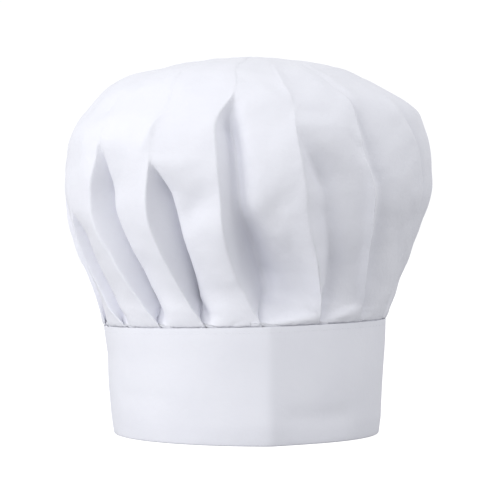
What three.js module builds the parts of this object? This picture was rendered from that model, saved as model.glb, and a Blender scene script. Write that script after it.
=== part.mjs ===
// A white chef hat: a tall pleated cloth crown gathered into an upright headband.
// Millimetres, +Z up, the wearer's face towards -Y. An azimuth is an angle in degrees
// around the hat: 0 is the front, and it grows towards +X.
import * as THREE from "three";

// Driving sizes.
const CLOTH = 1.0; // thickness of one layer of cloth
const LAYER_GAP = 0.3; // air between pieces, and between layers pressed together
const LAYER_STEP = CLOTH + LAYER_GAP;
const BAND_HEIGHT = 77.0; // front height of the headband, where the crown leaves it
const BAND_RISE = 2.4; // how much higher the band's right side stands than its front
const BAND_CLOTH = 2.0; // the band's two leaves pressed together
const HEM_DEPTH = 9.0; // how far the crown's gathered edge reaches down inside the band
const INNER_LEAF_DROP = 1.0; // the inner leaf ends this far below the outer one
const SLOT_TAPER = 8.0; // height over which the inner leaf swells around the gathers
const RISE_FADE = 30.0; // height above the band over which its rise dies out

// A soft crease runs down the front of the band.
const CREASE_AZIMUTH = 8.9;
const CREASE_REACH = { left: 40.0, right: 17.0 }; // how far the crease spreads to each side
const CREASE_ROUND = 6.0; // rounding of the crease's edge

// Outlines from the bottom up: how far each level reaches to the left, right, front and back.
const LEVEL_COLUMNS = ["height", "left", "right", "front", "back", "crease"];
const BAND_LEVELS = table(LEVEL_COLUMNS, [
  [0, 93.3, 91.2, 91.6, 92.0, 8.0],
  [12, 94.8, 93.0, 93.4, 93.6, 7.8],
  [34, 97.2, 93.9, 94.9, 95.2, 7.2],
  [56, 98.2, 95.0, 96.0, 96.4, 6.4],
  [77, 100.8, 96.1, 97.2, 98.0, 5.6],
]);
const CROWN_LEVELS = table(LEVEL_COLUMNS, [
  [80, 102.4, 99.2, 101.2, 100.4, 4.2],
  [83.5, 103.2, 99.5, 102.8, 101.6, 2.8],
  [88, 104.9, 100.4, 104.3, 103.0, 1.2],
  [95, 106.8, 102.9, 106.5, 105.0, 0],
  [107, 111.0, 106.4, 111.5, 110.5, 0],
  [124, 118.0, 113.1, 118.0, 117.4, 0],
  [144, 124.9, 120.3, 125.0, 124.1, 0],
  [165, 127.8, 127.6, 129.1, 127.8, 0],
  [187, 126.7, 127.6, 129.9, 128.1, 0],
  [207, 122.9, 124.7, 125.6, 123.6, 0],
  [224, 111.2, 117.8, 116.2, 114.4, 0],
  [236, 101.9, 99.3, 104.2, 101.5, 0],
  [246, 85.6, 80.3, 88.0, 84.0, 0],
  [253, 58.0, 61.5, 65.0, 61.0, 0],
  [258, 32.0, 35.0, 38.0, 36.0, 0],
  [261, 9.0, 20.0, 16.0, 16.0, 0],
]);
const APEX = { height: 262, left: -11, right: 11, front: 1, back: -1, crease: 0 };
const SMOOTH_DOME_FROM = 230; // above this height the folds are gone and half the points do

// The pleats: azimuth of each crest at seven heights, then how far the pleat laps over the
// next one in the band, how wide and deep its valley opens above, and where the valley ends.
const CREST_HEIGHTS = [77, 92, 115, 150, 190, 215, 235];
const PLEAT_COLUMNS = [
  "a77", "a92", "a115", "a150", "a190", "a215", "a235", "lap", "width", "depth", "top", "fade",
];
const PLEATS = table(PLEAT_COLUMNS, [
  [-75.0, -78.0, -81.0, -84.0, -86.0, -86.1, -86.0, 10, 6, 12, 168, 18],
  [-54.0, -64.0, -70.5, -69.0, -66.5, -64.1, -62.0, 10, 6, 18, 180, 50],
  [-32.0, -39.0, -47.3, -52.0, -53.5, -49.8, -46.0, 10, 9, 24, 210, 60],
  [-13.2, -19.5, -26.0, -30.3, -30.8, -29.4, -28.0, 10, 10, 27, 182, 34],
  [6.9, 1.8, -3.6, -6.9, -9.2, -9.5, -3.5, 10, 21, 28, 228, 45],
  [29.7, 29.0, 25.4, 19.0, 14.9, 13.2, 12.0, 10, 18, 13, 203, 34],
  [51.3, 49.5, 46.6, 42.5, 36.7, 34.0, 31.0, 10, 13, 9, 228, 40],
  [72.0, 71.0, 70.0, 69.0, 63.6, 57.4, 52.0, 10, 12, 11, 230, 50],
  [93.4, 90.0, 86.5, 83.5, 80.5, 79.1, 78.0, 10, 14, 21, 222, 50],
  [114.8, 110.5, 106.5, 102.5, 101.0, 100.9, 101.0, 10, 15, 23, 206, 45],
  [136.0, 131.0, 126.0, 121.5, 121.0, 122.0, 123.0, 10, 14, 22, 232, 60],
  [157.6, 153.5, 149.5, 145.0, 142.5, 141.6, 141.0, 10, 16, 23, 192, 36],
  [178.6, 173.5, 168.0, 163.0, 161.5, 161.7, 162.0, 10, 16, 24, 228, 60],
  [200.2, 195.0, 189.5, 185.0, 184.0, 184.9, 186.0, 10, 14, 22, 198, 40],
  [221.4, 217.5, 213.0, 208.5, 206.0, 205.4, 205.0, 10, 15, 23, 220, 50],
  [242.6, 237.5, 232.5, 228.5, 227.5, 228.2, 229.0, 10, 14, 22, 224, 60],
  [263.8, 259.5, 255.0, 251.0, 249.5, 249.2, 249.0, 10, 13, 20, 190, 40],
]);
const LAP_FADE = 13.0; // height over which a pleat stops lapping over the next
const WIDTH_GROWTH = 34.0; // height over which its valley widens
const DEPTH_GROWTH = 22.0; // and deepens
const DEPTH_POWER = 2.0; // how softly it starts to deepen
const CLOSED_WIDTH = -9.0; // a pleat lapping this far is drawn as a flat fold
const OPEN_WIDTH = 5.0; // and one open this far as a plain valley
const FADED_WIDTH = 0.2; // share of the width that is left where the valley has faded
const FADED_SPREAD = 0.4; // share of the panel that its far slope takes up there
const FULL_SPREAD = 0.62; // and where the valley is full
const HEAD_TAPER = 1.5; // a valley narrows over this many times the height it fades over
const HEAD_POWER = 1.4; // how softly a valley starts at its top
const TIP_CLEARANCE = 2.5; // how far before the fold under it a flap has come up to its level

// Soft dents pressed into the panels between the folds.
const DENT_COLUMNS = ["azimuth", "height", "across", "along", "tilt", "depth"];
const DENTS = table(DENT_COLUMNS, [
  [-17, 152, 15, 10, 30, 5.0],
  [8, 144, 20, 8, 48, 6.5],
  [4, 116, 11, 17, 0, 5.0],
  [7, 90, 15, 8, 8, 7.0],
  [112, 162, 20, 10, 35, 3.0],
  [176, 154, 22, 10, 38, 3.5],
  [238, 165, 20, 9, 32, 3.0],
]);
const DENT_RADIUS = 125; // radius at which a dent's azimuth is turned into a length

// Points around the band.
const BAND_SIDES = 48;

// Turns rows of numbers into records with named columns.
function table(columns, rows) {
  return rows.map((row) => Object.fromEntries(columns.map((name, i) => [name, row[i]])));
}

function mix(a, b, share) {
  return a + (b - a) * share;
}

function mixRows(a, b, share) {
  return Object.fromEntries(LEVEL_COLUMNS.map((name) => [name, mix(a[name], b[name], share)]));
}

function rowAt(rows, height) {
  const above = Math.max(1, rows.findIndex((row) => row.height >= height));
  const [low, high] = [rows[above - 1], rows[above]];
  return mixRows(low, high, (height - low.height) / (high.height - low.height));
}

function turnBetween(a, b) {
  return ((((a - b + 180) % 360) + 360) % 360) - 180;
}

// How far the band's front crease stands out at an azimuth.
function creaseAt(azimuth, row) {
  const away = THREE.MathUtils.degToRad(turnBetween(azimuth, CREASE_AZIMUTH)) * row.front;
  const reach = away < 0 ? CREASE_REACH.left : CREASE_REACH.right;
  return row.crease * Math.exp((CREASE_ROUND - Math.hypot(away, CREASE_ROUND)) / reach);
}

// A point of a level's outline, moved along the outward direction by a distance.
function outlinePoint(row, azimuth, outward, slope) {
  const angle = THREE.MathUtils.degToRad(azimuth);
  const [east, north] = [Math.sin(angle), -Math.cos(angle)];
  const level = outward * slope.level + creaseAt(azimuth, row);
  const rise = BAND_RISE * east * Math.exp(-Math.max(row.height - BAND_HEIGHT, 0) / RISE_FADE);
  const x = (row.right - row.left) / 2 + ((row.right + row.left) / 2 + level) * east;
  const y = (row.back - row.front) / 2 + ((row.back + row.front) / 2 + level) * north;
  const share = Math.min(row.height / BAND_HEIGHT, 1);
  return new THREE.Vector3(x, y, row.height + rise * share + outward * slope.up);
}

// Crest azimuth of a pleat at a height, on a smooth curve through its seven values.
function crestAzimuth(pleat, height) {
  const values = CREST_HEIGHTS.map((at) => pleat["a" + at]);
  const last = CREST_HEIGHTS.length - 1;
  const h = THREE.MathUtils.clamp(height, CREST_HEIGHTS[0], CREST_HEIGHTS[last]);
  const i = Math.min(CREST_HEIGHTS.findLastIndex((at) => at <= h), last - 1);
  const slopeAt = (j) => {
    const [from, to] = [Math.max(j - 1, 0), Math.min(j + 1, last)];
    return (values[to] - values[from]) / (CREST_HEIGHTS[to] - CREST_HEIGHTS[from]);
  };
  const span = CREST_HEIGHTS[i + 1] - CREST_HEIGHTS[i];
  const t = (h - CREST_HEIGHTS[i]) / span;
  const fromLow = (2 * t ** 3 - 3 * t ** 2 + 1) * values[i] + (t ** 3 - 2 * t ** 2 + t) * span * slopeAt(i);
  return fromLow + (3 * t ** 2 - 2 * t ** 3) * values[i + 1] + (t ** 3 - t ** 2) * span * slopeAt(i + 1);
}

// A rise from 0 to 1 over a span, slow at first.
function rising(value, span) {
  return Math.sin((Math.PI / 2) * THREE.MathUtils.clamp(value / span, 0, 1)) ** HEAD_POWER;
}

// Width, depth and spread of a pleat's valley at a height. A negative width is a lap.
function valley(pleat, height) {
  const above = Math.max(height - BAND_HEIGHT, 0);
  const open = rising(pleat.top - height, pleat.fade);
  const full = rising(pleat.top - height, HEAD_TAPER * pleat.fade);
  const growth = 1 - Math.exp(-((above / DEPTH_GROWTH) ** DEPTH_POWER));
  const widening = 1 - Math.exp(-above / WIDTH_GROWTH);
  const width = pleat.width * widening * mix(FADED_WIDTH, 1, full) - pleat.lap * Math.exp(-above / LAP_FADE);
  return { width, depth: pleat.depth * growth * open, spread: mix(FADED_SPREAD, FULL_SPREAD, full) };
}

// The cloth's middle line over one pleat and the panel after it: ten points, each a distance
// along the level from the crest and a depth below the outline. The flat fold goes back under
// the crest and out again; the open one goes down a wall and up the next panel.
function pleatPath(here, next, pitch) {
  const lap = Math.min(here.width, -1);
  const nextLap = Math.min(next.width, -1);
  const depth = here.depth + 2 * LAYER_STEP;
  const free = pitch + nextLap;
  const flat = [
    [0, 0],
    [0, LAYER_STEP],
    [lap / 2, depth / 2],
    [lap, depth - LAYER_STEP],
    [lap, depth],
    [lap / 2, depth],
    [0, depth],
    [0.4 * free, 0.6 * depth],
    [free - TIP_CLEARANCE, 0],
    [(free + pitch) / 2, 0],
  ];
  const wall = THREE.MathUtils.clamp(here.width, 0.1 * pitch, 0.5 * pitch);
  const panel = pitch - wall;
  const far = panel * here.spread;
  const plain = [
    [0, 0],
    [0.06 * wall, 0.22 * here.depth],
    [0.3 * wall, 0.64 * here.depth],
    [0.65 * wall, 0.95 * here.depth],
    [wall, here.depth],
    [wall + 0.1 * far, 0.93 * here.depth],
    [wall + 0.27 * far, 0.71 * here.depth],
    [wall + 0.5 * far, 0.38 * here.depth],
    [wall + 0.75 * far, 0.12 * here.depth],
    [wall + 0.94 * panel, 0.01 * here.depth],
  ];
  const closed = 1 - THREE.MathUtils.smoothstep(here.width, CLOSED_WIDTH, OPEN_WIDTH);
  return flat.map(([along, down], i) => ({
    along: mix(plain[i][0], along, closed),
    down: mix(plain[i][1], down, closed) + CLOTH / 2,
  }));
}

// The whole middle line of one level, as azimuths (degrees) and depths (mm).
function levelPath(row) {
  const radius = (row.left + row.right + row.front + row.back) / 4;
  const perDegree = THREE.MathUtils.degToRad(radius);
  const crests = PLEATS.map((pleat) => crestAzimuth(pleat, row.height));
  const valleys = PLEATS.map((pleat) => valley(pleat, row.height));
  const points = PLEATS.flatMap((pleat, k) => {
    const after = (k + 1) % PLEATS.length;
    const turn = crests[after] - crests[k] + (after === 0 ? 360 : 0);
    const path = pleatPath(valleys[k], valleys[after], turn * perDegree);
    return path.map(({ along, down }) => ({ along: along + crests[k] * perDegree, down }));
  });
  const kept = row.height > SMOOTH_DOME_FROM ? points.filter((point, i) => i % 2 === 0) : points;
  return { points: kept, length: 360 * perDegree, perDegree };
}

// The path moved sideways by a distance, with mitred corners.
function offsetPath({ points, length, perDegree }, distance) {
  const count = points.length;
  const heading = (i) => {
    const [from, to] = [points[i % count], points[(i + 1) % count]];
    const wrap = i % count === count - 1 ? length : 0;
    return new THREE.Vector2(to.along + wrap - from.along, from.down - to.down).normalize();
  };
  return points.map(({ along, down }, i) => {
    const [before, after] = [heading(i + count - 1), heading(i)];
    const middle = new THREE.Vector2(-before.y - after.y, before.x + after.x).normalize();
    const reach = distance / Math.max(middle.x * -after.y + middle.y * after.x, 0.5);
    return { azimuth: (along + middle.x * reach) / perDegree, down: down - middle.y * reach };
  });
}

function dentDepth(azimuth, height) {
  return DENTS.reduce((sum, dent) => {
    const aside = THREE.MathUtils.degToRad(turnBetween(azimuth, dent.azimuth)) * DENT_RADIUS;
    const local = new THREE.Vector2(aside, height - dent.height);
    local.rotateAround(new THREE.Vector2(), THREE.MathUtils.degToRad(-dent.tilt));
    return sum + dent.depth * Math.exp(-((local.x / dent.across) ** 2) - (local.y / dent.along) ** 2);
  }, 0);
}

// Outward direction of the surface at a level, from the levels below and above it.
function slopeAt(rows, i) {
  const [low, high] = [rows[Math.max(i - 1, 0)], rows[Math.min(i + 1, rows.length - 1)]];
  const widening = (high.left + high.right + high.front + high.back
    - low.left - low.right - low.front - low.back) / 4;
  const tilt = new THREE.Vector2(high.height - low.height, -widening).normalize();
  return { level: tilt.x, up: tilt.y };
}

// Triangles between two closed rows of points, which may differ in number.
function bridge(rowA, rowB, flip) {
  const faces = [];
  let [a, b] = [0, 0];
  while (a < rowA.length || b < rowB.length) {
    const [pointA, pointB] = [rowA[a % rowA.length], rowB[b % rowB.length]];
    const stepA = (a + 1) / rowA.length <= (b + 1) / rowB.length;
    const third = stepA ? rowA[(a + 1) % rowA.length] : rowB[(b + 1) % rowB.length];
    faces.push(flip ? [pointB, pointA, third] : [pointA, pointB, third]);
    if (stepA) {
      a += 1;
    } else {
      b += 1;
    }
  }
  return faces;
}

// A mesh from shared vertices. Each row in rows is a list of Vector3, closed on itself.
class Shell {
  constructor() {
    this.positions = [];
    this.faces = [];
  }

  addPoint(point) {
    this.positions.push(point.x, point.y, point.z);
    return this.positions.length / 3 - 1;
  }

  addRow(points) {
    return points.map((point) => this.addPoint(point));
  }

  join(rowA, rowB, flip) {
    this.faces.push(...bridge(rowA, rowB, flip));
  }

  close(row, tip, flip) {
    row.forEach((point, i) => {
      const next = row[(i + 1) % row.length];
      this.faces.push(flip ? [next, point, tip] : [point, next, tip]);
    });
  }

  mesh(name, material) {
    const geometry = new THREE.BufferGeometry();
    geometry.setAttribute("position", new THREE.Float32BufferAttribute(this.positions, 3));
    geometry.setIndex(this.faces.flat());
    geometry.computeVertexNormals();
    const mesh = new THREE.Mesh(geometry, material);
    mesh.name = name;
    return mesh;
  }
}

// The crown's levels: two inside the band's slot, then the table's own.
function crownRows() {
  const inset = BAND_CLOTH / 2 + LAYER_GAP;
  const hem = [BAND_HEIGHT - HEM_DEPTH, BAND_HEIGHT].map((height) => {
    const row = rowAt(BAND_LEVELS, height);
    const sides = ["left", "right", "front", "back"].map((side) => [side, row[side] - inset]);
    return { ...row, ...Object.fromEntries(sides) };
  });
  return [...hem, ...CROWN_LEVELS];
}

// One pleated piece of cloth, hollow and open below.
function crown(material) {
  const shell = new Shell();
  const rows = crownRows();
  const faceRows = (distance) => rows.map((row, i) => {
    const slope = slopeAt(rows, i);
    const path = offsetPath(levelPath(row), distance);
    return shell.addRow(path.map(({ azimuth, down }) => {
      return outlinePoint(row, azimuth, -down - dentDepth(azimuth, row.height), slope);
    }));
  });
  const outside = faceRows(CLOTH / 2);
  const inside = faceRows(-CLOTH / 2);
  for (let i = 0; i + 1 < rows.length; i += 1) {
    shell.join(outside[i], outside[i + 1], true);
    shell.join(inside[i], inside[i + 1], false);
  }
  const flat = { level: 0, up: 1 };
  const tipOutside = shell.addPoint(outlinePoint(APEX, 0, 0, flat));
  const tipInside = shell.addPoint(outlinePoint(APEX, 0, -CLOTH, flat));
  shell.close(outside.at(-1), tipOutside, false);
  shell.close(inside.at(-1), tipInside, true);
  shell.join(outside[0], inside[0], false);
  return shell.mesh("crown", material);
}

// A strip folded along its lower edge, closed into a ring, its top open for the gathers.
function band(material) {
  const leaf = BAND_CLOTH / 2;
  const slotWidth = CLOTH + 2 * LAYER_STEP + 2 * LAYER_GAP + LAYER_GAP;
  const slotFloor = BAND_HEIGHT - HEM_DEPTH - LAYER_GAP;
  const innerTop = BAND_HEIGHT - INNER_LEAF_DROP;
  const innerFace = leaf + slotWidth + leaf;
  const levels = BAND_LEVELS.map((row) => row.height);
  const below = levels.filter((height) => height < slotFloor - SLOT_TAPER);
  const section = [
    ...levels.map((height) => [height, 0]),
    [BAND_HEIGHT, leaf],
    [slotFloor, leaf],
    [slotFloor, leaf + slotWidth],
    [innerTop, leaf + slotWidth],
    [innerTop, innerFace],
    [slotFloor, innerFace],
    ...below.reverse().map((height) => [height, BAND_CLOTH]),
  ];
  const shell = new Shell();
  const level = { level: 1, up: 0 };
  const rows = section.map(([height, inward]) => {
    const row = rowAt(BAND_LEVELS, height);
    const points = Array.from({ length: BAND_SIDES }, (unused, i) => {
      return outlinePoint(row, CREASE_AZIMUTH + (360 * i) / BAND_SIDES, -inward, level);
    });
    return shell.addRow(points);
  });
  rows.forEach((row, i) => shell.join(row, rows[(i + 1) % rows.length], true));
  return shell.mesh("band", material);
}

function cotton(name, color) {
  const material = new THREE.MeshStandardMaterial({ color, roughness: 0.92, metalness: 0 });
  material.name = name;
  return material;
}

const hat = new THREE.Group();
hat.add(crown(cotton("crown_cotton", 0xf2f4f9)));
hat.add(band(cotton("band_cotton", 0xeff1f7)));

export default hat;
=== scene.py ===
"""A white chef hat: a tall knife-pleated cotton crown gathered into an upright headband."""

import logging
import math
from dataclasses import dataclass
from enum import Enum
from typing import NamedTuple, Sequence

import bpy
import numpy as np
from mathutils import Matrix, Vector, noise

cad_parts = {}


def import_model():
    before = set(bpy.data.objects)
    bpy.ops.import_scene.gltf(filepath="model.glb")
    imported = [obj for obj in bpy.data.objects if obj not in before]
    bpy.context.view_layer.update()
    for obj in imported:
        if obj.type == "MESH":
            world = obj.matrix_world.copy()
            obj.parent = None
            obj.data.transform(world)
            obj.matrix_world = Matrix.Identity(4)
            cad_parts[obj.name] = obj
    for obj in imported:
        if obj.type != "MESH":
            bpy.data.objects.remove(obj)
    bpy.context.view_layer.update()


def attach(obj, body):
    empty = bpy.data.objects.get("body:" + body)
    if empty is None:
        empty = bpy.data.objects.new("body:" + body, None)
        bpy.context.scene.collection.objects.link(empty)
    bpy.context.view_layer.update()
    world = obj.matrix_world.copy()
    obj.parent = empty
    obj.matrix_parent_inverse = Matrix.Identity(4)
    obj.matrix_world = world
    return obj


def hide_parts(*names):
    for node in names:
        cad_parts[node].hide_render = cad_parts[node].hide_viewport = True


MM = 0.001
WELD_DISTANCE = 1e-6
LOG = logging.getLogger("chef_hat")


class Level(NamedTuple):
    """How far one level reaches to each side of the hat's axis, and its front crease, in mm."""

    height: float
    left: float
    right: float
    front: float
    back: float
    crease: float = 0.0


class Pleat(NamedTuple):
    """One knife pleat: its crest's azimuth at seven heights, and the valley past the crest.

    The valley opens over the height called opening. Its shaded wall has the width and the depth,
    and its far side takes up the spread's share of the panel beyond. It runs out at the height
    called top, over the height called fade. Near its top only the head's share of it is open.
    """

    a77: float
    a92: float
    a115: float
    a150: float
    a190: float
    a215: float
    a235: float
    opening: float
    width: float
    depth: float
    spread: float
    top: float
    fade: float
    head: float = 1.0


class Valley(NamedTuple):
    """A pleat's valley at one height, in mm; a negative width is a lap."""

    width: float
    depth: float
    spread: float


class Dent(NamedTuple):
    """A soft oval dent in a panel, tilted up towards its right."""

    azimuth: float
    height: float
    across: float
    along: float
    tilt: float
    depth: float


class Crease(NamedTuple):
    """A faint pressed line between two places on the crown; a negative depth is a ridge."""

    azimuth: float
    height: float
    end_azimuth: float
    end_height: float
    reach: float
    depth: float


class Groove(NamedTuple):
    """A soft level groove in the band, between two azimuths, with its own reach down and up."""

    start: float
    end: float
    height: float
    below: float
    above: float
    depth: float


class Ripple(NamedTuple):
    """Smooth uneven bends of handled cloth: their length and depth in mm, and their seed."""

    size: float
    depth: float
    seed: float


class Hold(Enum):
    """What keeps a piece of cloth in its shape."""

    GATHERED = "gathered"
    FOLDED = "folded"


BAND_LEVELS = (
    Level(0, 93.3, 91.2, 91.6, 92.0, 8.0),
    Level(12, 94.8, 93.0, 93.4, 93.6, 7.8),
    Level(34, 97.2, 93.9, 94.9, 95.2, 7.2),
    Level(56, 98.2, 95.0, 96.0, 96.4, 6.4),
    Level(77, 100.8, 96.1, 97.2, 98.0, 5.6),
)
CROWN_LEVELS = (
    Level(77.5, 100.0, 95.4, 96.5, 97.3, 5.4),
    Level(78.0, 101.0, 96.2, 97.6, 98.2, 5.2),
    Level(80, 102.0, 97.3, 99.0, 99.4, 4.2),
    Level(83.5, 103.2, 98.7, 101.0, 101.2, 2.8),
    Level(88, 104.9, 100.4, 103.4, 102.9, 1.2),
    Level(95, 106.8, 102.9, 106.3, 105.0),
    Level(107, 111.0, 106.4, 111.5, 110.5),
    Level(124, 118.0, 113.1, 118.0, 117.4),
    Level(144, 124.9, 120.3, 125.0, 124.1),
    Level(165, 127.8, 127.6, 129.1, 127.8),
    Level(187, 126.7, 127.6, 129.9, 128.1),
    Level(207, 122.9, 124.7, 125.6, 123.6),
    Level(224, 111.2, 117.8, 116.2, 114.4),
    Level(236, 101.9, 99.3, 104.2, 101.5),
    Level(246, 85.6, 80.3, 88.0, 84.0),
    Level(253, 58.0, 61.5, 65.0, 61.0),
    Level(258, 32.0, 35.0, 38.0, 36.0),
    Level(261, 9.0, 20.0, 16.0, 16.0),
    Level(262, -11.0, 11.0, 1.0, -1.0),
)
CREST_HEIGHTS = (77, 92, 115, 150, 190, 215, 235)
PLEATS = (
    Pleat(-76.0, -80.0, -85.0, -87.0, -89.0, -90.0, -90.0, 34, 6, 9, 0.2, 170, 25),
    Pleat(-52.5, -64.0, -70.0, -71.5, -73.0, -72.0, -70.0, 28, 3.5, 15, 0.1, 153, 18),
    Pleat(-33.0, -40.5, -47.5, -54.5, -52.5, -50.0, -46.0, 60, 14.5, 28, 0.1, 199, 40),
    Pleat(-14.0, -20.0, -25.7, -30.5, -30.0, -29.0, -28.0, 34, 14, 27, 0.1, 184, 26),
    Pleat(6.9, 1.8, -3.6, -6.9, -9.2, -9.5, -3.5, 9, 17, 33, 0.7, 227, 22, 0.62),
    Pleat(29.7, 29.0, 25.4, 19.0, 14.9, 13.2, 12.0, 20, 19, 15, 0.8, 208, 38),
    Pleat(51.3, 49.5, 46.6, 42.5, 36.7, 34.0, 31.0, 30, 11, 9, 0.5, 232, 40),
    Pleat(72.0, 71.0, 70.0, 69.0, 63.6, 57.4, 52.0, 30, 12, 9, 0.5, 230, 50),
    Pleat(93.4, 90.0, 86.5, 83.5, 80.5, 79.1, 78.0, 34, 13.6, 20.4, 0.2, 222, 50),
    Pleat(114.8, 110.5, 106.5, 102.5, 101.0, 100.9, 101.0, 34, 14.4, 22.4, 0.2, 206, 45),
    Pleat(136.0, 131.0, 126.0, 121.5, 121.0, 122.0, 123.0, 34, 13.6, 21.3, 0.2, 232, 60),
    Pleat(157.6, 153.5, 149.5, 145.0, 142.5, 141.6, 141.0, 34, 15.2, 22.4, 0.2, 192, 36),
    Pleat(178.6, 173.5, 168.0, 163.0, 161.5, 161.7, 162.0, 34, 15.2, 23.4, 0.2, 228, 60),
    Pleat(200.2, 195.0, 189.5, 185.0, 184.0, 184.9, 186.0, 34, 13.6, 21.3, 0.2, 198, 40),
    Pleat(221.4, 217.5, 213.0, 208.5, 206.0, 205.4, 205.0, 34, 14.4, 22.4, 0.2, 220, 50),
    Pleat(242.6, 237.5, 232.5, 228.5, 227.5, 228.2, 229.0, 34, 13.6, 21.3, 0.2, 224, 60),
    Pleat(263.8, 259.5, 255.0, 251.0, 249.5, 249.2, 249.0, 34, 12.8, 19.4, 0.2, 190, 40),
)
# Sections of a pleat: shares along each of its parts, and shares of that part's depth.
VALLEY_WALL = ((0.0, 0.0), (0.1, 0.12), (0.5, 0.52), (0.92, 0.96))
VALLEY_FAR_SIDE = ((0.15, 0.94), (0.5, 0.55))
LEANING_PANEL = ((0.0, 1.0), (0.3, 0.8), (0.62, 0.48), (0.94, 0.08))
PRESSED_PANEL = ((0.12, 0.5), (0.36, 0.0), (0.66, 0.0))
DENTS = (
    Dent(-17, 149, 15, 10, 30, 4.5),
    Dent(8, 144, 20, 11, 45, 2.0),
    Dent(2, 116, 13, 20, 0, 4.0),
    Dent(17, 90, 9, 7, 0, 3.0),
    Dent(9, 103, 8, 5, 0, 3.5),
    Dent(112, 162, 20, 10, 35, 3.0),
    Dent(176, 154, 22, 10, 38, 3.5),
    Dent(238, 165, 20, 9, 32, 3.0),
)
CREASES = (
    Crease(-69, 233, -61, 243, 3.0, -1.1),
    Crease(-56, 232, -54, 214, 3.0, 1.3),
    Crease(-26, 222, -33, 190, 3.5, -1.6),
    Crease(15, 250, 12, 224, 3.0, -1.3),
    Crease(27, 210, 48, 168, 5.0, 1.9),
    Crease(35, 250, 36, 215, 4.0, -1.6),
    Crease(52, 222, 65, 188, 4.0, -1.6),
    Crease(-20, 246, -9, 236, 6.0, 1.0),
    Crease(14, 219, 26, 213, 6.0, 2.2),
    Crease(120, 246, 126, 212, 4.0, 1.4),
    Crease(196, 250, 188, 216, 4.0, 1.4),
    Crease(262, 246, 252, 214, 4.0, 1.3),
)
GROOVES = (
    Groove(14, 47, 17, 10, 7, 1.1),
    Groove(-62, -30, 31, 8, 6, 0.6),
    Groove(128, 170, 26, 8, 6, 0.8),
    Groove(-140, -100, 44, 9, 6, 0.7),
)


def smooth_step(value: np.ndarray | float, low: float, high: float) -> np.ndarray:
    """Return a smooth share from 0 at low to 1 at high."""
    share = np.clip((np.asarray(value, float) - low) / (high - low), 0.0, 1.0)
    return share * share * (3.0 - 2.0 * share)


def turn_between(first: np.ndarray | float, second: float) -> np.ndarray:
    """Return the signed angle in degrees from second to first, within half a turn."""
    return (np.asarray(first, float) - second + 180.0) % 360.0 - 180.0


def ripple_at(point: Sequence[float], ripple: Ripple) -> float:
    """Return how far a ripple moves the cloth at a point, from smooth noise, in mm."""
    x, y, z = point
    place = Vector((x / ripple.size + ripple.seed, y / ripple.size, z / ripple.size))
    return ripple.depth * noise.noise(place)


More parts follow.
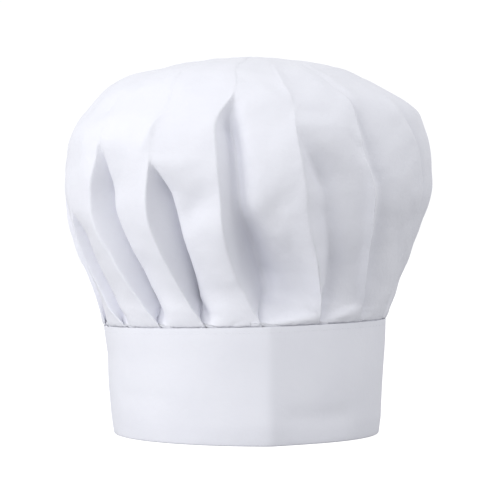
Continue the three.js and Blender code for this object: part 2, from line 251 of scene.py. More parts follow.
@dataclass(frozen=True)
class HatForm:
    """The hat's shape as formulas over azimuth and height, in mm and degrees."""

    band_height: float = 77.0
    band_rise: float = 2.4
    rise_fade: float = 30.0
    hem_depth: float = 9.0
    hem_inset: float = 1.3
    cloth: float = 0.45
    layer_gap: float = 0.2
    crease_azimuth: float = 8.9
    crease_reach: tuple[float, float] = (40.0, 17.0)
    crease_round: float = 3.0
    lap: float = 10.0
    lap_fade: float = 12.0
    least_lap: float = -1.0
    depth_growth: float = 9.0
    growth_power: float = 1.2
    opening_power: float = 1.5
    closed_width: float = -9.0
    open_width: float = 5.0
    least_wall: float = 0.04
    most_wall: float = 0.6
    faded_width: float = 0.12
    top_power: float = 1.4
    head_taper: float = 1.5
    head_start: float = 66.0
    head_end: float = 124.0
    head_depth_power: float = 1.2
    head_spread_power: float = 2.0
    tilt: float = 0.36
    dent_radius: float = 125.0
    dent_start: float = 4.0
    path_points: int = 10

    def band_row(self, height: float) -> np.ndarray:
        """Return the band's level at a height, between the rows of its table."""
        rows = np.array(BAND_LEVELS)
        return np.array([np.interp(height, rows[:, 0], rows[:, i]) for i in range(rows.shape[1])])

    def crown_rows(self) -> np.ndarray:
        """Join the gathered hem's levels, inside the band, to the crown's table.

        Returns:
            The crown's levels, from the hem up.
        """
        hem = [self.band_row(self.band_height - self.hem_depth), self.band_row(self.band_height)]
        for row in hem:
            row[1:5] -= self.hem_inset
        return np.vstack([hem, np.array(CROWN_LEVELS)])

    @staticmethod
    def between(rows: np.ndarray, place: float) -> np.ndarray:
        """Follow a smooth curve through a table's rows.

        Args:
            rows: the table's levels.
            place: a fractional row number.

        Returns:
            The level there.
        """
        last = len(rows) - 1
        low = int(min(max(math.floor(place), 0), last - 1))
        t = place - low
        before, start, end, after = (rows[min(max(low + k, 0), last)] for k in (-1, 0, 1, 2))
        linear = (end - before) * t
        square = (2 * before - 5 * start + 4 * end - after) * t**2
        cube = (3 * start - 3 * end + after - before) * t**3
        return 0.5 * (2 * start + linear + square + cube)

    @staticmethod
    def crest_azimuths(height: float) -> np.ndarray:
        """Follow each pleat's crest on a smooth curve through its own values.

        Args:
            height: the level's height.

        Returns:
            Each pleat's crest azimuth there.
        """
        knots = np.array(CREST_HEIGHTS, float)
        values = np.array([pleat[:len(knots)] for pleat in PLEATS])
        h = min(max(height, knots[0]), knots[-1])
        i = min(int(np.searchsorted(knots, h, side="right")) - 1, len(knots) - 2)
        span = knots[i + 1] - knots[i]
        t = (h - knots[i]) / span

        def slope(j: int) -> np.ndarray:
            """Return the curve's slope at a knot."""
            low, high = max(j - 1, 0), min(j + 1, len(knots) - 1)
            return (values[:, high] - values[:, low]) / (knots[high] - knots[low])

        start = (2 * t**3 - 3 * t**2 + 1) * values[:, i] + (t**3 - 2 * t**2 + t) * span * slope(i)
        end = (3 * t**2 - 2 * t**3) * values[:, i + 1] + (t**3 - t**2) * span * slope(i + 1)
        return start + end

    def rising(self, value: float, span: float) -> float:
        """Return a share that starts at a slope and levels out at 1 over the span."""
        return math.sin(math.pi / 2 * min(max(value / span, 0.0), 1.0)) ** self.top_power

    def valley(self, pleat: Pleat, height: float) -> Valley:
        """Open a pleat's valley above the band and close it again at its top.

        Args:
            pleat: the pleat.
            height: the level's height.

        Returns:
            The valley there.
        """
        above = max(height - self.band_height, 0.0)
        opened = self.rising(pleat.top - height, pleat.fade)
        full = self.rising(pleat.top - height, self.head_taper * pleat.fade)
        growth = 1 - math.exp(-((above / self.depth_growth) ** self.growth_power))
        widening = 1 - math.exp(-((above / pleat.opening) ** self.opening_power))
        share = self.faded_width + (1 - self.faded_width) * full
        lower = float(smooth_step(pleat.top - height, self.head_start, self.head_end))
        head = pleat.head + (1 - pleat.head) * lower
        lapped = self.lap * math.exp(-above / self.lap_fade)
        return Valley(
            width=pleat.width * head * widening * share - lapped,
            depth=pleat.depth * head**self.head_depth_power * growth * opened,
            spread=pleat.spread * head**self.head_spread_power,
        )

    def pressed_pleat(self, valley: Valley, next_width: float, pitch: float) -> np.ndarray:
        """Lay a pleat flat: the cloth turns under its crest twice before the panel beyond.

        Args:
            valley: this pleat's valley, whose negative width is the lap.
            next_width: width of the next pleat's valley.
            pitch: distance to the next crest.

        Returns:
            Ten points, as distances along and depths below the outline.
        """
        step = self.cloth + self.layer_gap
        lap = min(valley.width, self.least_lap)
        deep = valley.depth + 2 * step
        free = pitch + min(next_width, self.least_lap)
        turns = [(0, 0), (0, step), (lap / 2, deep / 2), (lap, deep), (lap / 2, deep), (0, deep)]
        panel = [(along * free, down * deep) for along, down in PRESSED_PANEL]
        return np.array([*turns, *panel, ((free + pitch) / 2, 0)])

    def open_pleat(self, valley: Valley, pitch: float) -> np.ndarray:
        """Open a pleat: a shaded wall, a deep crease, a crisp edge, and a panel that leans out.

        Args:
            valley: this pleat's valley.
            pitch: distance to the next crest.

        Returns:
            Ten points, as distances along and depths below the outline.
        """
        wall = min(max(valley.width, self.least_wall * pitch), self.most_wall * pitch)
        far = (pitch - wall) * valley.spread
        edge = wall + far
        lean = self.tilt * valley.depth
        down_wall = [(wall * along, valley.depth * down) for along, down in VALLEY_WALL]
        far_side = [(wall + far * along, valley.depth * down) for along, down in VALLEY_FAR_SIDE]
        panel = [(edge + (pitch - edge) * along, lean * down) for along, down in LEANING_PANEL]
        return np.array([*down_wall, *far_side, *panel])

    def pleat_path(self, valley: Valley, next_width: float, pitch: float) -> np.ndarray:
        """Blend the pressed pleat near the band into the open pleat above it.

        Args:
            valley: this pleat's valley.
            next_width: width of the next pleat's valley.
            pitch: distance to the next crest.

        Returns:
            Ten points, as distances along and depths below the outline.
        """
        pressed = self.pressed_pleat(valley, next_width, pitch)
        opened = self.open_pleat(valley, pitch)
        closed = 1 - float(smooth_step(valley.width, self.closed_width, self.open_width))
        return opened + (pressed - opened) * closed

    def level_path(self, row: np.ndarray) -> np.ndarray:
        """Join the pleats' paths around one level.

        Args:
            row: the level.

        Returns:
            The whole path as azimuths and depths, ten points to the pleat.
        """
        height = row[0]
        per_degree = math.radians(float(np.mean(row[1:5])))
        crests = self.crest_azimuths(height)
        valleys = [self.valley(pleat, height) for pleat in PLEATS]
        parts = []
        for k, azimuth in enumerate(crests):
            after = (k + 1) % len(crests)
            turn = crests[after] - azimuth + (360 if after == 0 else 0)
            path = self.pleat_path(valleys[k], valleys[after].width, turn * per_degree)
            parts.append(np.column_stack([azimuth + path[:, 0] / per_degree, path[:, 1]]))
        return np.vstack(parts)

    @staticmethod
    def soft_curve(points: np.ndarray, places: np.ndarray) -> np.ndarray:
        """Follow the closed cubic B-spline over a level's path.

        Args:
            points: the path's points.
            places: fractional point numbers.

        Returns:
            The curve's points at those places.
        """
        count = len(points)
        low = np.floor(places).astype(int)
        t = (places - low)[:, None]

        def knot(number: np.ndarray) -> np.ndarray:
            """Return the path's points by number, a full turn on past the last."""
            turns = np.floor_divide(number, count)
            return points[number % count] + np.column_stack([turns * 360.0, np.zeros(len(number))])

        first = (1 - t) ** 3 * knot(low - 1) + (3 * t**3 - 6 * t**2 + 4) * knot(low)
        second = (-3 * t**3 + 3 * t**2 + 3 * t + 1) * knot(low + 1) + t**3 * knot(low + 2)
        return (first + second) / 6

    def crease_at(self, azimuth: np.ndarray, row: np.ndarray) -> np.ndarray:
        """Shape the band's front crease, with a slow left flank.

        Args:
            azimuth: azimuths in degrees.
            row: the level.

        Returns:
            How far the crease stands out at each azimuth.
        """
        away = np.radians(turn_between(azimuth, self.crease_azimuth)) * row[3]
        rounded = self.crease_round - np.hypot(away, self.crease_round)
        return row[5] * np.exp(rounded / np.where(away < 0, *self.crease_reach))

    def place(
        self, row: np.ndarray, azimuth: np.ndarray, outward: np.ndarray, slope: tuple[float, float]
    ) -> np.ndarray:
        """Return points of a level's outline, moved along the outward direction.

        Args:
            row: the level.
            azimuth: azimuths in degrees.
            outward: distance along the outward direction at each azimuth.
            slope: the outward direction's level and upward parts.

        Returns:
            An array of points in mm.
        """
        height, left, right, front, back = row[:5]
        east = np.sin(np.radians(azimuth))
        north = -np.cos(np.radians(azimuth))
        level = outward * slope[0] + self.crease_at(azimuth, row)
        fading = math.exp(-max(height - self.band_height, 0.0) / self.rise_fade)
        rise = self.band_rise * east * fading * min(height / self.band_height, 1.0)
        x = (right - left) / 2 + ((right + left) / 2 + level) * east
        y = (back - front) / 2 + ((back + front) / 2 + level) * north
        return np.column_stack([x, y, height + rise + outward * slope[1]])

    def dent_depth(self, azimuth: np.ndarray, height: float) -> np.ndarray:
        """Add up the soft dents at one level.

        Args:
            azimuth: azimuths in degrees.
            height: the level's height.

        Returns:
            How deep they press in at each azimuth.
        """
        total = np.zeros_like(azimuth)
        for dent in DENTS:
            aside = np.radians(turn_between(azimuth, dent.azimuth)) * self.dent_radius
            up = height - dent.height
            tilt = math.radians(dent.tilt)
            along = aside * math.cos(tilt) + up * math.sin(tilt)
            across = up * math.cos(tilt) - aside * math.sin(tilt)
            total += dent.depth * np.exp(-((along / dent.across) ** 2) - (across / dent.along) ** 2)
        return total * min(max(height - self.band_height, 0.0) / self.dent_start, 1.0)


def deselect_all() -> None:
    """Leave nothing selected, so that the next operator acts on its own object."""
    if bpy.context.object and bpy.context.object.mode != "OBJECT":
        bpy.ops.object.mode_set(mode="OBJECT")
    bpy.ops.object.select_all(action="DESELECT")


def grid_sheet(name: str, points: np.ndarray, pattern: np.ndarray) -> bpy.types.Object:
    """Lay a flat grid of cloth over a surface, sew its side edges and close its faces.

    Args:
        name: the piece's name.
        points: places in mm, as rows by columns by 3; the last column repeats the first.
        pattern: the flat cloth's coordinates in mm, as rows by columns by 2.

    Returns:
        The sheet, its weave following the UV map.
    """
    deselect_all()
    rows, columns = points.shape[:2]
    bpy.ops.mesh.primitive_grid_add(
        x_subdivisions=columns - 1, y_subdivisions=rows - 1, size=1, calc_uvs=True
    )
    sheet = bpy.context.object
    sheet.name = sheet.data.name = name
    flat = np.zeros(len(sheet.data.vertices) * 3)
    sheet.data.vertices.foreach_get("co", flat)
    flat = flat.reshape(-1, 3)
    column = np.rint((flat[:, 0] + 0.5) * (columns - 1)).astype(int)
    row = np.rint((flat[:, 1] + 0.5) * (rows - 1)).astype(int)
    sheet.data.vertices.foreach_set("co", (points[row, column] * MM).ravel())
    corners = np.zeros(len(sheet.data.loops), int)
    sheet.data.loops.foreach_get("vertex_index", corners)
    uv = pattern[row[corners], column[corners]] * MM
    sheet.data.uv_layers[0].data.foreach_set("uv", uv.ravel())
    sheet.data.uv_layers[0].name = "cloth"
    sheet.data.update()
    bpy.ops.object.mode_set(mode="EDIT")
    bpy.ops.mesh.select_all(action="SELECT")
    bpy.ops.mesh.remove_doubles(threshold=WELD_DISTANCE)
    bpy.ops.mesh.normals_make_consistent(inside=False)
    bpy.ops.object.mode_set(mode="OBJECT")
    bpy.ops.object.shade_smooth()
    return sheet


def apply_modifier(piece: bpy.types.Object, kind: str, **settings: float | bool | int) -> None:
    """Add a modifier with its settings and apply it.

    Args:
        piece: the object.
        kind: the modifier's type.
        settings: the modifier's properties.
    """
    deselect_all()
    piece.select_set(True)
    bpy.context.view_layer.objects.active = piece
    modifier = piece.modifiers.new(kind.lower(), kind)
    for name, value in settings.items():
        setattr(modifier, name, value)
    bpy.ops.object.modifier_apply(modifier=modifier.name)


@dataclass
class NodeSketch:
    """A small helper that adds and links shader nodes."""

    tree: bpy.types.NodeTree

    def add(
        self, kind: str, sockets: dict[str, float] | None = None, **settings: object
    ) -> bpy.types.Node:
        """Add a node and set its properties and its sockets' values.

        Args:
            kind: the node's type.
            sockets: values by the input sockets' names.
            settings: values by the properties' names.

        Returns:
            The new node.
        """
        node = self.tree.nodes.new(kind)
        for name, value in settings.items():
            setattr(node, name, value)
        for name, value in (sockets or {}).items():
            node.inputs[name].default_value = value
        return node

    def math(self, operation: str, *values: object) -> bpy.types.NodeSocket:
        """Add a Math node.

        Args:
            operation: the operation's name.
            values: sockets or numbers, in the order of the node's inputs.

        Returns:
            The result's socket.
        """
        node = self.add("ShaderNodeMath", operation=operation)
        for socket, value in zip(node.inputs, values):
            if isinstance(value, bpy.types.NodeSocket):
                self.link(value, socket)
            else:
                socket.default_value = value
        return node.outputs[0]

    def link(self, source: bpy.types.NodeSocket, target: bpy.types.NodeSocket) -> None:
        """Join two sockets."""
        self.tree.links.new(source, target)


class ClothGroups:
    """The shader groups that every cotton finish uses."""

    slub_scale: float = 500.0
    slub_detail: float = 3.0
    broad_detail: float = 3.0
    broad_roughness: float = 0.5
    fine_detail: float = 4.0
    fine_roughness: float = 0.6
    fine_share: float = 3.5

    @staticmethod
    def open_group(
        name: str, inputs: Sequence[tuple[str, str]], outputs: Sequence[str]
    ) -> tuple[bpy.types.NodeTree, NodeSketch, bpy.types.Node, bpy.types.Node]:
        """Start a node group.

        Args:
            name: the group's name.
            inputs: names and socket types of the values that it takes.
            outputs: names of the values that it gives.

        Returns:
            The group, its sketch, its input node and its output node.
        """
        group = bpy.data.node_groups.new(name, "ShaderNodeTree")
        for label, kind in inputs:
            group.interface.new_socket(label, in_out="INPUT", socket_type=kind)
        for label in outputs:
            group.interface.new_socket(label, in_out="OUTPUT", socket_type="NodeSocketFloat")
        sketch = NodeSketch(group)
        return group, sketch, sketch.add("NodeGroupInput"), sketch.add("NodeGroupOutput")

    @classmethod
    def weave(cls) -> bpy.types.NodeTree:
        """Cross uneven threads in a plain weave, from the cloth's flat coordinates in metres.

        Returns:
            The group, which gives the threads' height.
        """
        inputs = [("Cloth", "NodeSocketVector"), ("Threads", "NodeSocketFloat")]
        group, sketch, given, out = cls.open_group("plain_weave", inputs, ["Height"])
        slub = sketch.add("ShaderNodeTexNoise", {"Scale": cls.slub_scale, "Detail": cls.slub_detail})
        sketch.link(given.outputs["Cloth"], slub.inputs["Vector"])
        split = sketch.add("ShaderNodeSeparateXYZ")
        sketch.link(given.outputs["Cloth"], split.inputs["Vector"])
        turns = sketch.math("MULTIPLY", given.outputs["Threads"], math.pi)
        warp = sketch.math("SINE", sketch.math("MULTIPLY", split.outputs["X"], turns))
        weft = sketch.math("SINE", sketch.math("MULTIPLY", split.outputs["Y"], turns))
        crossing = sketch.math("MULTIPLY", warp, weft)
        height = sketch.math("MULTIPLY_ADD", crossing, 0.5, 0.5)
        uneven = sketch.math("MULTIPLY", height, slub.outputs["Fac"])
        sketch.link(uneven, out.inputs["Height"])
        return group

    @classmethod
    def handling(cls) -> bpy.types.NodeTree:
        """Wrinkle cloth and mottle its tone, as handling does.

        Returns:
            The group, which gives the wrinkles' height and the tone.
        """
        inputs = [("Place", "NodeSocketVector"), ("Size", "NodeSocketFloat")]
        group, sketch, given, out = cls.open_group("handled_cloth", inputs, ["Height", "Tone"])
        layers = (
            ("Tone", 1.0, cls.broad_detail, cls.broad_roughness),
            ("Height", cls.fine_share, cls.fine_detail, cls.fine_roughness),
        )
        for output, scale, detail, roughness in layers:
            node = sketch.add("ShaderNodeTexNoise", {"Detail": detail, "Roughness": roughness})
            sketch.link(given.outputs["Place"], node.inputs["Vector"])
            frequency = sketch.math("DIVIDE", scale, given.outputs["Size"])
            sketch.link(frequency, node.inputs["Scale"])
            sketch.link(node.outputs["Fac"], out.inputs[output])
        return group


@dataclass(frozen=True)
class Cotton:
    """Matt white woven cotton.

    The tone runs between shade and light; lengths are in metres.
    """

    name: str
    light: tuple[float, float, float] = (0.80, 0.807, 0.864)
    shade: tuple[float, float, float] = (0.785, 0.792, 0.852)
    tone_low: float = 0.3
    tone_high: float = 0.7
    threads_per_metre: float = 2600.0
    thread_relief: float = 0.00005
    wrinkle_size: float = 0.022
    wrinkle_relief: float = 0.00045
    roughness: float = 0.9
    roughness_change: float = 0.05
    specular: float = 0.2
    sheen: float = 0.15
    sheen_roughness: float = 0.5

    def build(self, weave: bpy.types.NodeTree, handling: bpy.types.NodeTree) -> bpy.types.Material:
        """Make the material.

        Args:
            weave: the woven threads' group.
            handling: the handled cloth's group.

        Returns:
            The finished material.
        """
        material = bpy.data.materials.new(self.name)
        material.use_nodes = True
        sketch = NodeSketch(material.node_tree)
        shader = material.node_tree.nodes["Principled BSDF"]
        shader.inputs["Sheen Weight"].default_value = self.sheen
        shader.inputs["Sheen Roughness"].default_value = self.sheen_roughness
        shader.inputs["Specular IOR Level"].default_value = self.specular
        cloth = sketch.add("ShaderNodeUVMap", uv_map="cloth")
        place = sketch.add("ShaderNodeTexCoord")
        threads = sketch.add("ShaderNodeGroup", node_tree=weave)
        threads.inputs["Threads"].default_value = self.threads_per_metre
        sketch.link(cloth.outputs["UV"], threads.inputs["Cloth"])
        handled = sketch.add("ShaderNodeGroup", node_tree=handling)
        handled.inputs["Size"].default_value = self.wrinkle_size
        sketch.link(place.outputs["Object"], handled.inputs["Place"])
        tone = sketch.add(
            "ShaderNodeMapRange", {"From Min": self.tone_low, "From Max": self.tone_high}
        )
        sketch.link(handled.outputs["Tone"], tone.inputs["Value"])
        colour = sketch.add("ShaderNodeMix", data_type="RGBA")
        colour.inputs["A"].default_value = (*self.shade, 1.0)
        colour.inputs["B"].default_value = (*self.light, 1.0)
        sketch.link(tone.outputs["Result"], colour.inputs["Factor"])
        sketch.link(colour.outputs["Result"], shader.inputs["Base Color"])
        low, high = self.roughness - self.roughness_change, self.roughness + self.roughness_change
        rough = sketch.add("ShaderNodeMapRange", {"To Min": low, "To Max": high})
        sketch.link(threads.outputs["Height"], rough.inputs["Value"])
        sketch.link(rough.outputs["Result"], shader.inputs["Roughness"])
        wrinkles = sketch.add("ShaderNodeBump", {"Distance": self.wrinkle_relief})
        sketch.link(handled.outputs["Height"], wrinkles.inputs["Height"])
        woven = sketch.add("ShaderNodeBump", {"Distance": self.thread_relief})
        sketch.link(threads.outputs["Height"], woven.inputs["Height"])
        sketch.link(wrinkles.outputs["Normal"], woven.inputs["Normal"])
        sketch.link(woven.outputs["Normal"], shader.inputs["Normal"])
        return material


@dataclass
class Crown:
    """The pleated crown: one round piece of cloth, gathered along its edge."""

    form: HatForm
    finish: bpy.types.Material
    front_samples: tuple[int, ...] = (2, 2, 2, 2, 2, 2, 2, 4, 4, 3)
    back_samples: tuple[int, ...] = (1, 2, 1, 1, 1, 1, 1, 2, 2, 2)
    front_half: float = 100.0
    ring_step: float = 2.5
    seam_ring_step: float = 1.0
    seam_zone: float = 22.0
    top_gap: float = 0.001
    nudge: float = 0.02
    disc_diameter: float = 0.57
    puckers: int = 150
    pucker_depth: float = 0.5
    pucker_fade: float = 5.0
    pucker_wander: float = 2.5
    wander_waves: int = 7
    crease_round: float = 0.8
    crease_end: float = 0.02
    ripples: tuple[Ripple, ...] = (
        Ripple(42.0, 1.3, 3.1),
        Ripple(15.0, 0.85, 7.7),
        Ripple(7.0, 0.13, 5.3),
    )
    ripple_fade: float = 12.0

    def ring_places(self, rows: np.ndarray) -> np.ndarray:
        """Space the rings up the crown, closer together above the band.

        Args:
            rows: the crown's levels.

        Returns:
            The rings' fractional row numbers.
        """
        places = []
        for i in range(len(rows) - 1):
            rise = rows[i + 1, 0] - rows[i, 0]
            run = abs(float(np.mean(rows[i + 1, 1:5] - rows[i, 1:5])))
            near = rows[i, 0] < self.form.band_height + self.seam_zone
            step = self.seam_ring_step if near else self.ring_step
            count = max(2, round(math.hypot(rise, run) / step))
            places.extend(i + np.arange(count) / count)
        return np.array([*places, len(rows) - 1 - self.top_gap])

    def path_places(self) -> np.ndarray:
        """Space the columns along the pleats' path, closer together on the front half.

        Returns:
            The columns' fractional point numbers.
        """
        places = []
        for k, pleat in enumerate(PLEATS):
            front = abs(turn_between(pleat.a150, 0)) < self.front_half
            for i, count in enumerate(self.front_samples if front else self.back_samples):
                places.extend(k * self.form.path_points + i + np.arange(count) / count)
        return np.array([*places, len(PLEATS) * self.form.path_points])

    def crease_relief(self, azimuth: np.ndarray, height: float) -> np.ndarray:
        """Add up the faint pressed lines at one level.

        Args:
            azimuth: azimuths in degrees.
            height: the level's height.

        Returns:
            How far they move the cloth outwards at each azimuth.
        """
        total = np.zeros_like(azimuth)
        scale = math.radians(self.form.dent_radius)
        for line in CREASES:
            span_aside = float(turn_between(line.end_azimuth, line.azimuth)) * scale
            span_up = line.end_height - line.height
            aside = turn_between(azimuth, line.azimuth) * scale
            up = height - line.height
            length = math.hypot(span_aside, span_up)
            along = (aside * span_aside + up * span_up) / length**2
            across = (aside * span_up - up * span_aside) / length
            inside = np.exp(-(((np.clip(along, 0, 1) - along) * length / line.reach) ** 2))
            fade = np.sqrt(np.sin(np.pi * np.clip(along, self.crease_end, 1 - self.crease_end)))
            crisp = self.crease_round - np.hypot(across, self.crease_round)
            total -= line.depth * np.exp(crisp / line.reach) * inside * fade
        return total

    def relief(self, azimuth: np.ndarray, points: np.ndarray, height: float) -> np.ndarray:
        """Ruffle the cloth at one level, as handling and gathering do.

        Args:
            azimuth: azimuths in degrees.
            points: the smooth cloth's points there, in mm.
            height: the level's height.

        Returns:
            The small outward movement at each point.
        """
        above = max(height - self.form.band_height, 0.0)
        free = 1 - math.exp(-above / self.ripple_fade)
        soft = [sum(ripple_at(point, ripple) for ripple in self.ripples) for point in points]
        angles = np.radians(azimuth)
        wander = self.pucker_wander * np.sin(angles * self.wander_waves)
        pucker = np.sin(angles * self.puckers + wander)
        gather = self.pucker_depth * pucker * math.exp(-above / self.pucker_fade) * min(above, 1.0)
        return np.array(soft) * free + gather + self.crease_relief(azimuth, height)

    def surface(self) -> tuple[np.ndarray, np.ndarray]:
        """Lay the rings from the hem up to the middle of the top.

        Returns:
            The crown's outer face, and the flat cloth under each of its points.
        """
        rows = self.form.crown_rows()
        around = self.path_places()
        rings, reach = [], []
        for place in self.ring_places(rows):
            row = self.form.between(rows, place)
            beyond = self.form.between(rows, place + self.nudge)
            change = beyond - self.form.between(rows, place - self.nudge)
            widening = float(np.mean(change[1:5]))
            length = math.hypot(change[0], widening)
            slope = (change[0] / length, -widening / length)
            path = self.form.soft_curve(self.form.level_path(row), around)
            outward = -path[:, 1] - self.form.dent_depth(path[:, 0], row[0])
            still = self.form.place(row, path[:, 0], outward, slope)
            outward += self.relief(path[:, 0], still, row[0])
            rings.append(self.form.place(row, path[:, 0], outward, slope))
            reach.append((row[0], float(np.mean(row[1:5]))))
        surface = np.array(rings)
        surface[:, -1] = surface[:, 0]
        surface[-1] = surface[-1].mean(axis=0)
        steps = np.hypot(*np.diff(np.array(reach), axis=0).T)
        from_top = np.append(np.cumsum(steps[::-1])[::-1], 0.0)
        turn = around / around[-1] * 2 * math.pi
        east, north = np.outer(from_top, np.sin(turn)), -np.outer(from_top, np.cos(turn))
        return surface, np.stack([east, north], -1)

    def build(self) -> bpy.types.Object:
        """Returns:
            The crown.
        """
        surface, pattern = self.surface()
        crown = grid_sheet("crown_cloth", surface, pattern)
        apply_modifier(crown, "SOLIDIFY", thickness=self.form.cloth * MM, offset=-1.0)
        crown.data.materials.append(self.finish)
        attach(crown, "root")
        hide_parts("crown")
        return crown


@dataclass
class Band:
    """The headband: a strip folded along its lower edge and closed into a ring."""

    form: HatForm
    finish: bpy.types.Material
    leaf: float = 0.8
    fold_gap: float = 0.25
    slot: float = 2.5
    slot_taper: float = 8.0
    inner_drop: float = 1.0
    columns: int = 288
    row_step: float = 2.6
    edge_radius: float = 0.44
    edge_share: float = 0.49
    edge_steps: int = 4
    bend: Ripple = Ripple(38.0, 0.9, 1.3)
    bend_start: float = 14.0
    groove_ends: float = 10.0
    hem_pull: float = 0.35
    pull_height: float = 73.6
    pull_reach: float = 1.6
    puckers: int = 96
    pucker_mean: float = 0.6
    pucker_swing: float = 0.4
    pucker_wander: float = 3.0
    wander_waves: int = 5
    pattern_radius: float = 96.0
    strip_length: float = 0.61
    strip_width: float = 0.154

    def section(self) -> np.ndarray:
        """Draw the folded strip's section, with round edges.

        Returns:
            Its points as heights and inward distances; the last repeats the first.
        """
        floor = self.form.band_height - self.form.hem_depth - self.form.layer_gap
        top = self.form.band_height
        inner_top = top - self.inner_drop
        closed = self.leaf + self.fold_gap
        slot_in = self.leaf + self.slot
        outline = [
            (0, 0), (top, 0), (top, self.leaf), (self.leaf, self.leaf), (self.leaf, closed),
            (floor - self.slot_taper, closed), (floor, slot_in), (inner_top, slot_in),
            (inner_top, slot_in + self.leaf), (floor, slot_in + self.leaf),
            (floor - self.slot_taper, closed + self.leaf), (0, closed + self.leaf),
        ]
        points = []
        for i, corner in enumerate(outline):
            here = np.array(corner, float)
            ahead = np.array(outline[(i + 1) % len(outline)], float)
            before = np.array(outline[i - 1], float) - here
            after = ahead - here
            shorter = min(float(np.hypot(*before)), float(np.hypot(*after)))
            reach = min(self.edge_radius * 2, self.edge_share * shorter)
            start = here + before / np.hypot(*before) * reach
            end = here + after / np.hypot(*after) * reach
            for t in np.linspace(0, 1, self.edge_steps):
                points.append((1 - t) ** 2 * start + 2 * t * (1 - t) * here + t**2 * end)
            left = float(np.hypot(*(ahead - end)))
            for along in np.arange(1, int((left - reach) // self.row_step) + 1) * self.row_step:
                points.append(end + (ahead - end) * along / left)
        return np.array([*points, points[0]])

    def groove_relief(self, azimuth: np.ndarray, height: float) -> np.ndarray:
        """Add up the soft grooves at one height.

        Args:
            azimuth: azimuths in degrees.
            height: the height on the band.

        Returns:
            How far they draw the band inwards at each azimuth.
        """
        total = np.zeros_like(azimuth)
        for groove in GROOVES:
            reach = groove.below if height < groove.height else groove.above
            middle = (groove.start + groove.end) / 2
            half = (groove.end - groove.start) / 2
            aside = np.abs(turn_between(azimuth, middle))
            inside = 1 - smooth_step(aside, half - self.groove_ends / 2, half + self.groove_ends / 2)
            total += groove.depth * inside * math.exp(-(((height - groove.height) / reach) ** 2))
        return total

    def relief(self, azimuth: np.ndarray, height: float) -> np.ndarray:
        """Add the band's soft bends, its grooves and the pull of its stitching at one height.

        Args:
            azimuth: azimuths in degrees.
            height: the height on the band.

        Returns:
            How far they move the band outwards at each azimuth.
        """
        radius = float(np.mean(self.form.band_row(height)[1:5]))
        angles = np.radians(azimuth)
        around = [(radius * math.sin(angle), radius * math.cos(angle), height) for angle in angles]
        bends = np.array([ripple_at(point, self.bend) for point in around])
        free = min(height / self.bend_start, 1.0)
        pull = math.exp(-(((height - self.pull_height) / self.pull_reach) ** 2))
        wander = self.pucker_wander * np.sin(angles * self.wander_waves)
        puckers = self.pucker_mean + self.pucker_swing * np.sin(angles * self.puckers + wander)
        return bends * free - self.groove_relief(azimuth, height) - self.hem_pull * pull * puckers

    def build(self) -> bpy.types.Object:
        """Returns:
            The band.
        """
        section = self.section()
        azimuth = self.form.crease_azimuth + np.linspace(0, 360, self.columns + 1)
        rings = []
        for height, inward in section:
            row = self.form.band_row(height)
            outward = self.relief(azimuth, height) - inward
            rings.append(self.form.place(row, azimuth, outward, (1.0, 0.0)))
        surface = np.array(rings)
        surface[:, -1] = surface[:, 0]
        surface[-1] = surface[0]
        steps = np.hypot(*np.diff(section, axis=0).T)
        down = np.append(0.0, np.cumsum(steps))
        around = np.radians(azimuth) * self.pattern_radius
        band = grid_sheet("band_cloth", surface, np.stack(np.meshgrid(around, down), -1))
        band.data.materials.append(self.finish)
        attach(band, "root")
        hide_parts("band")
        return band


@dataclass
class Stitching:
    """The line of stitches that closes the band over the crown's gathered edge."""

    band: Band
    finish: bpy.types.Material
    stitches: int = 226
    height: float = 73.6
    length: float = 2.0
    thickness: float = 0.42
    sink: float = 0.06
    slant: float = 6.0
    half_turn: float = 0.3

    def place(self, azimuth: float) -> tuple[Vector, float]:
        """Find where a stitch lies on the band.

        Args:
            azimuth: the stitch's azimuth in degrees.

        Returns:
            Its place in metres, and the direction in which it runs in radians.
        """
        row = self.band.form.band_row(self.height)
        around = np.array([azimuth - self.half_turn, azimuth, azimuth + self.half_turn])
        outward = self.band.relief(around, self.height) - self.sink
        before, here, after = self.band.form.place(row, around, outward, (1.0, 0.0)) * MM
        return Vector(here), math.atan2(after[1] - before[1], after[0] - before[0])

    def build(self) -> bpy.types.Object:
        """Model one stitch, lay its copies along the line and join them.

        Returns:
            The stitches.
        """
        deselect_all()
        bpy.ops.mesh.primitive_uv_sphere_add(segments=10, ring_count=8, radius=0.5 * MM)
        first = bpy.context.object
        first.data.uv_layers[0].name = "cloth"
        first.data.materials.append(self.finish)
        bpy.ops.object.shade_smooth()
        copies = [first]
        for _ in range(self.stitches - 1):
            copy = first.copy()
            copy.data = first.data.copy()
            bpy.context.scene.collection.objects.link(copy)
            copies.append(copy)
        for i, stitch in enumerate(copies):
            stitch.location, heading = self.place(360.0 * i / self.stitches)
            stitch.rotation_euler = (0.0, math.radians(self.slant), heading)
            stitch.scale = (self.length, self.thickness, self.thickness)
        deselect_all()
        for stitch in copies:
            stitch.select_set(True)
        bpy.context.view_layer.objects.active = first
        bpy.ops.object.join()
        bpy.ops.object.transform_apply(location=True, rotation=True, scale=True)
        first.name = first.data.name = "band_stitching"
        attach(first, "root")
        return first


@dataclass(frozen=True)
class Lamp:
    """One soft square light: where it hangs around the hat in degrees, its watts and metres."""

    name: str
    azimuth: float
    elevation: float
    power: float
    size: float = 0.8
    distance: float = 1.9


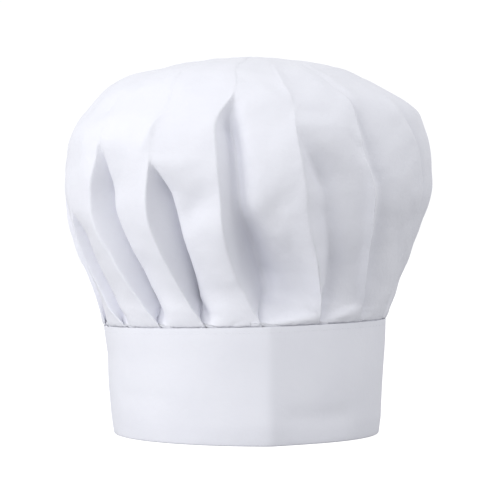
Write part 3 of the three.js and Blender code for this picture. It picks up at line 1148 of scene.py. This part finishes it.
@dataclass
class Studio:
    """A plain pale floor, soft light and the camera, in metres."""

    camera_height: float = 0.127
    camera_distance: float = 1.25
    camera_aside: float = 0.0014
    lens: float = 128.5
    view_end: float = 100.0
    floor_radius: float = 14.0
    floor_tone: tuple[float, float, float] = (0.45, 0.45, 0.455)
    floor_glow: float = 0.85
    surround_tone: tuple[float, float, float] = (0.985, 0.99, 1.0)
    surround: float = 0.77
    surround_seen: float = 1.05
    lamps: tuple[Lamp, ...] = (
        Lamp("key", -64, 8, 10.1),
        Lamp("front", -30, 17, 9.3),
        Lamp("fill", 76, 30, 7.0),
    )
    aim: tuple[float, float, float] = (0.0, 0.0, 0.14)

    def camera(self) -> None:
        """Set the camera level, straight in front of the hat."""
        data = bpy.data.cameras.new("camera")
        data.lens = self.lens
        data.clip_end = self.view_end
        camera = bpy.data.objects.new("camera", data)
        camera.location = (self.camera_aside, -self.camera_distance, self.camera_height)
        camera.rotation_euler = (math.pi / 2, 0.0, 0.0)
        bpy.context.scene.collection.objects.link(camera)
        bpy.context.scene.camera = camera

    def floor(self) -> None:
        """Lay a round pale floor that looks nearly as bright as the surround."""
        deselect_all()
        bpy.ops.mesh.primitive_circle_add(
            vertices=96, radius=self.floor_radius, fill_type="NGON", location=(0, 0, 0)
        )
        floor = bpy.context.object
        floor.name = "floor"
        material = bpy.data.materials.new("floor_white")
        material.use_nodes = True
        sketch = NodeSketch(material.node_tree)
        shader = material.node_tree.nodes["Principled BSDF"]
        shader.inputs["Base Color"].default_value = (*self.floor_tone, 1.0)
        shader.inputs["Roughness"].default_value = 1.0
        shader.inputs["Specular IOR Level"].default_value = 0.0
        shader.inputs["Emission Color"].default_value = (1.0, 1.0, 1.0, 1.0)
        seen = sketch.add("ShaderNodeLightPath")
        glow = sketch.math("MULTIPLY", seen.outputs["Is Camera Ray"], self.floor_glow)
        sketch.link(glow, shader.inputs["Emission Strength"])
        floor.data.materials.append(material)

    def world(self) -> None:
        """Surround the hat with soft white light."""
        world = bpy.data.worlds.new("surround")
        world.use_nodes = True
        bpy.context.scene.world = world
        sketch = NodeSketch(world.node_tree)
        background = world.node_tree.nodes["Background"]
        background.inputs["Color"].default_value = (*self.surround_tone, 1.0)
        seen = sketch.add("ShaderNodeLightPath")
        more = self.surround_seen - self.surround
        extra = sketch.math("MULTIPLY", seen.outputs["Is Camera Ray"], more)
        sketch.link(sketch.math("ADD", extra, self.surround), background.inputs["Strength"])

    def hang(self, lamp: Lamp) -> None:
        """Hang one soft light around the hat and turn it towards the middle of the crown.

        Args:
            lamp: the light.
        """
        data = bpy.data.lights.new(lamp.name, "AREA")
        data.size = lamp.size
        data.energy = lamp.power
        light = bpy.data.objects.new(lamp.name, data)
        azimuth, elevation = math.radians(lamp.azimuth), math.radians(lamp.elevation)
        level = math.cos(elevation)
        away = Vector((math.sin(azimuth) * level, -math.cos(azimuth) * level, math.sin(elevation)))
        light.location = Vector(self.aim) + away * lamp.distance
        light.rotation_euler = away.to_track_quat("Z", "Y").to_euler()
        bpy.context.scene.collection.objects.link(light)

    def build(self) -> None:
        """Set up the floor, the light and the camera."""
        bpy.context.scene.view_settings.view_transform = "Standard"
        self.camera()
        self.floor()
        self.world()
        for lamp in self.lamps:
            self.hang(lamp)


def corners(bounds: tuple[Vector, Vector]) -> list[list[float]]:
    """Return a box's two corners as plain lists."""
    return [[float(value) for value in corner] for corner in bounds]


def main() -> None:
    """Build the hat around its frame, piece by piece."""
    logging.basicConfig(level=logging.INFO, format="%(message)s")
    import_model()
    Studio().build()
    form = HatForm()
    weave, handling = ClothGroups.weave(), ClothGroups.handling()
    crown_finish = Cotton("crown_cotton_cloth").build(weave, handling)
    band_finish = Cotton("band_cotton_cloth", wrinkle_relief=0.0002).build(weave, handling)
    crown = Crown(form, crown_finish)
    band = Band(form, band_finish)
    for piece in (crown.build(), band.build(), Stitching(band, band_finish).build()):
        LOG.info("%s: %d faces", piece.name, len(piece.data.polygons))


if __name__ == "__main__":
    main()
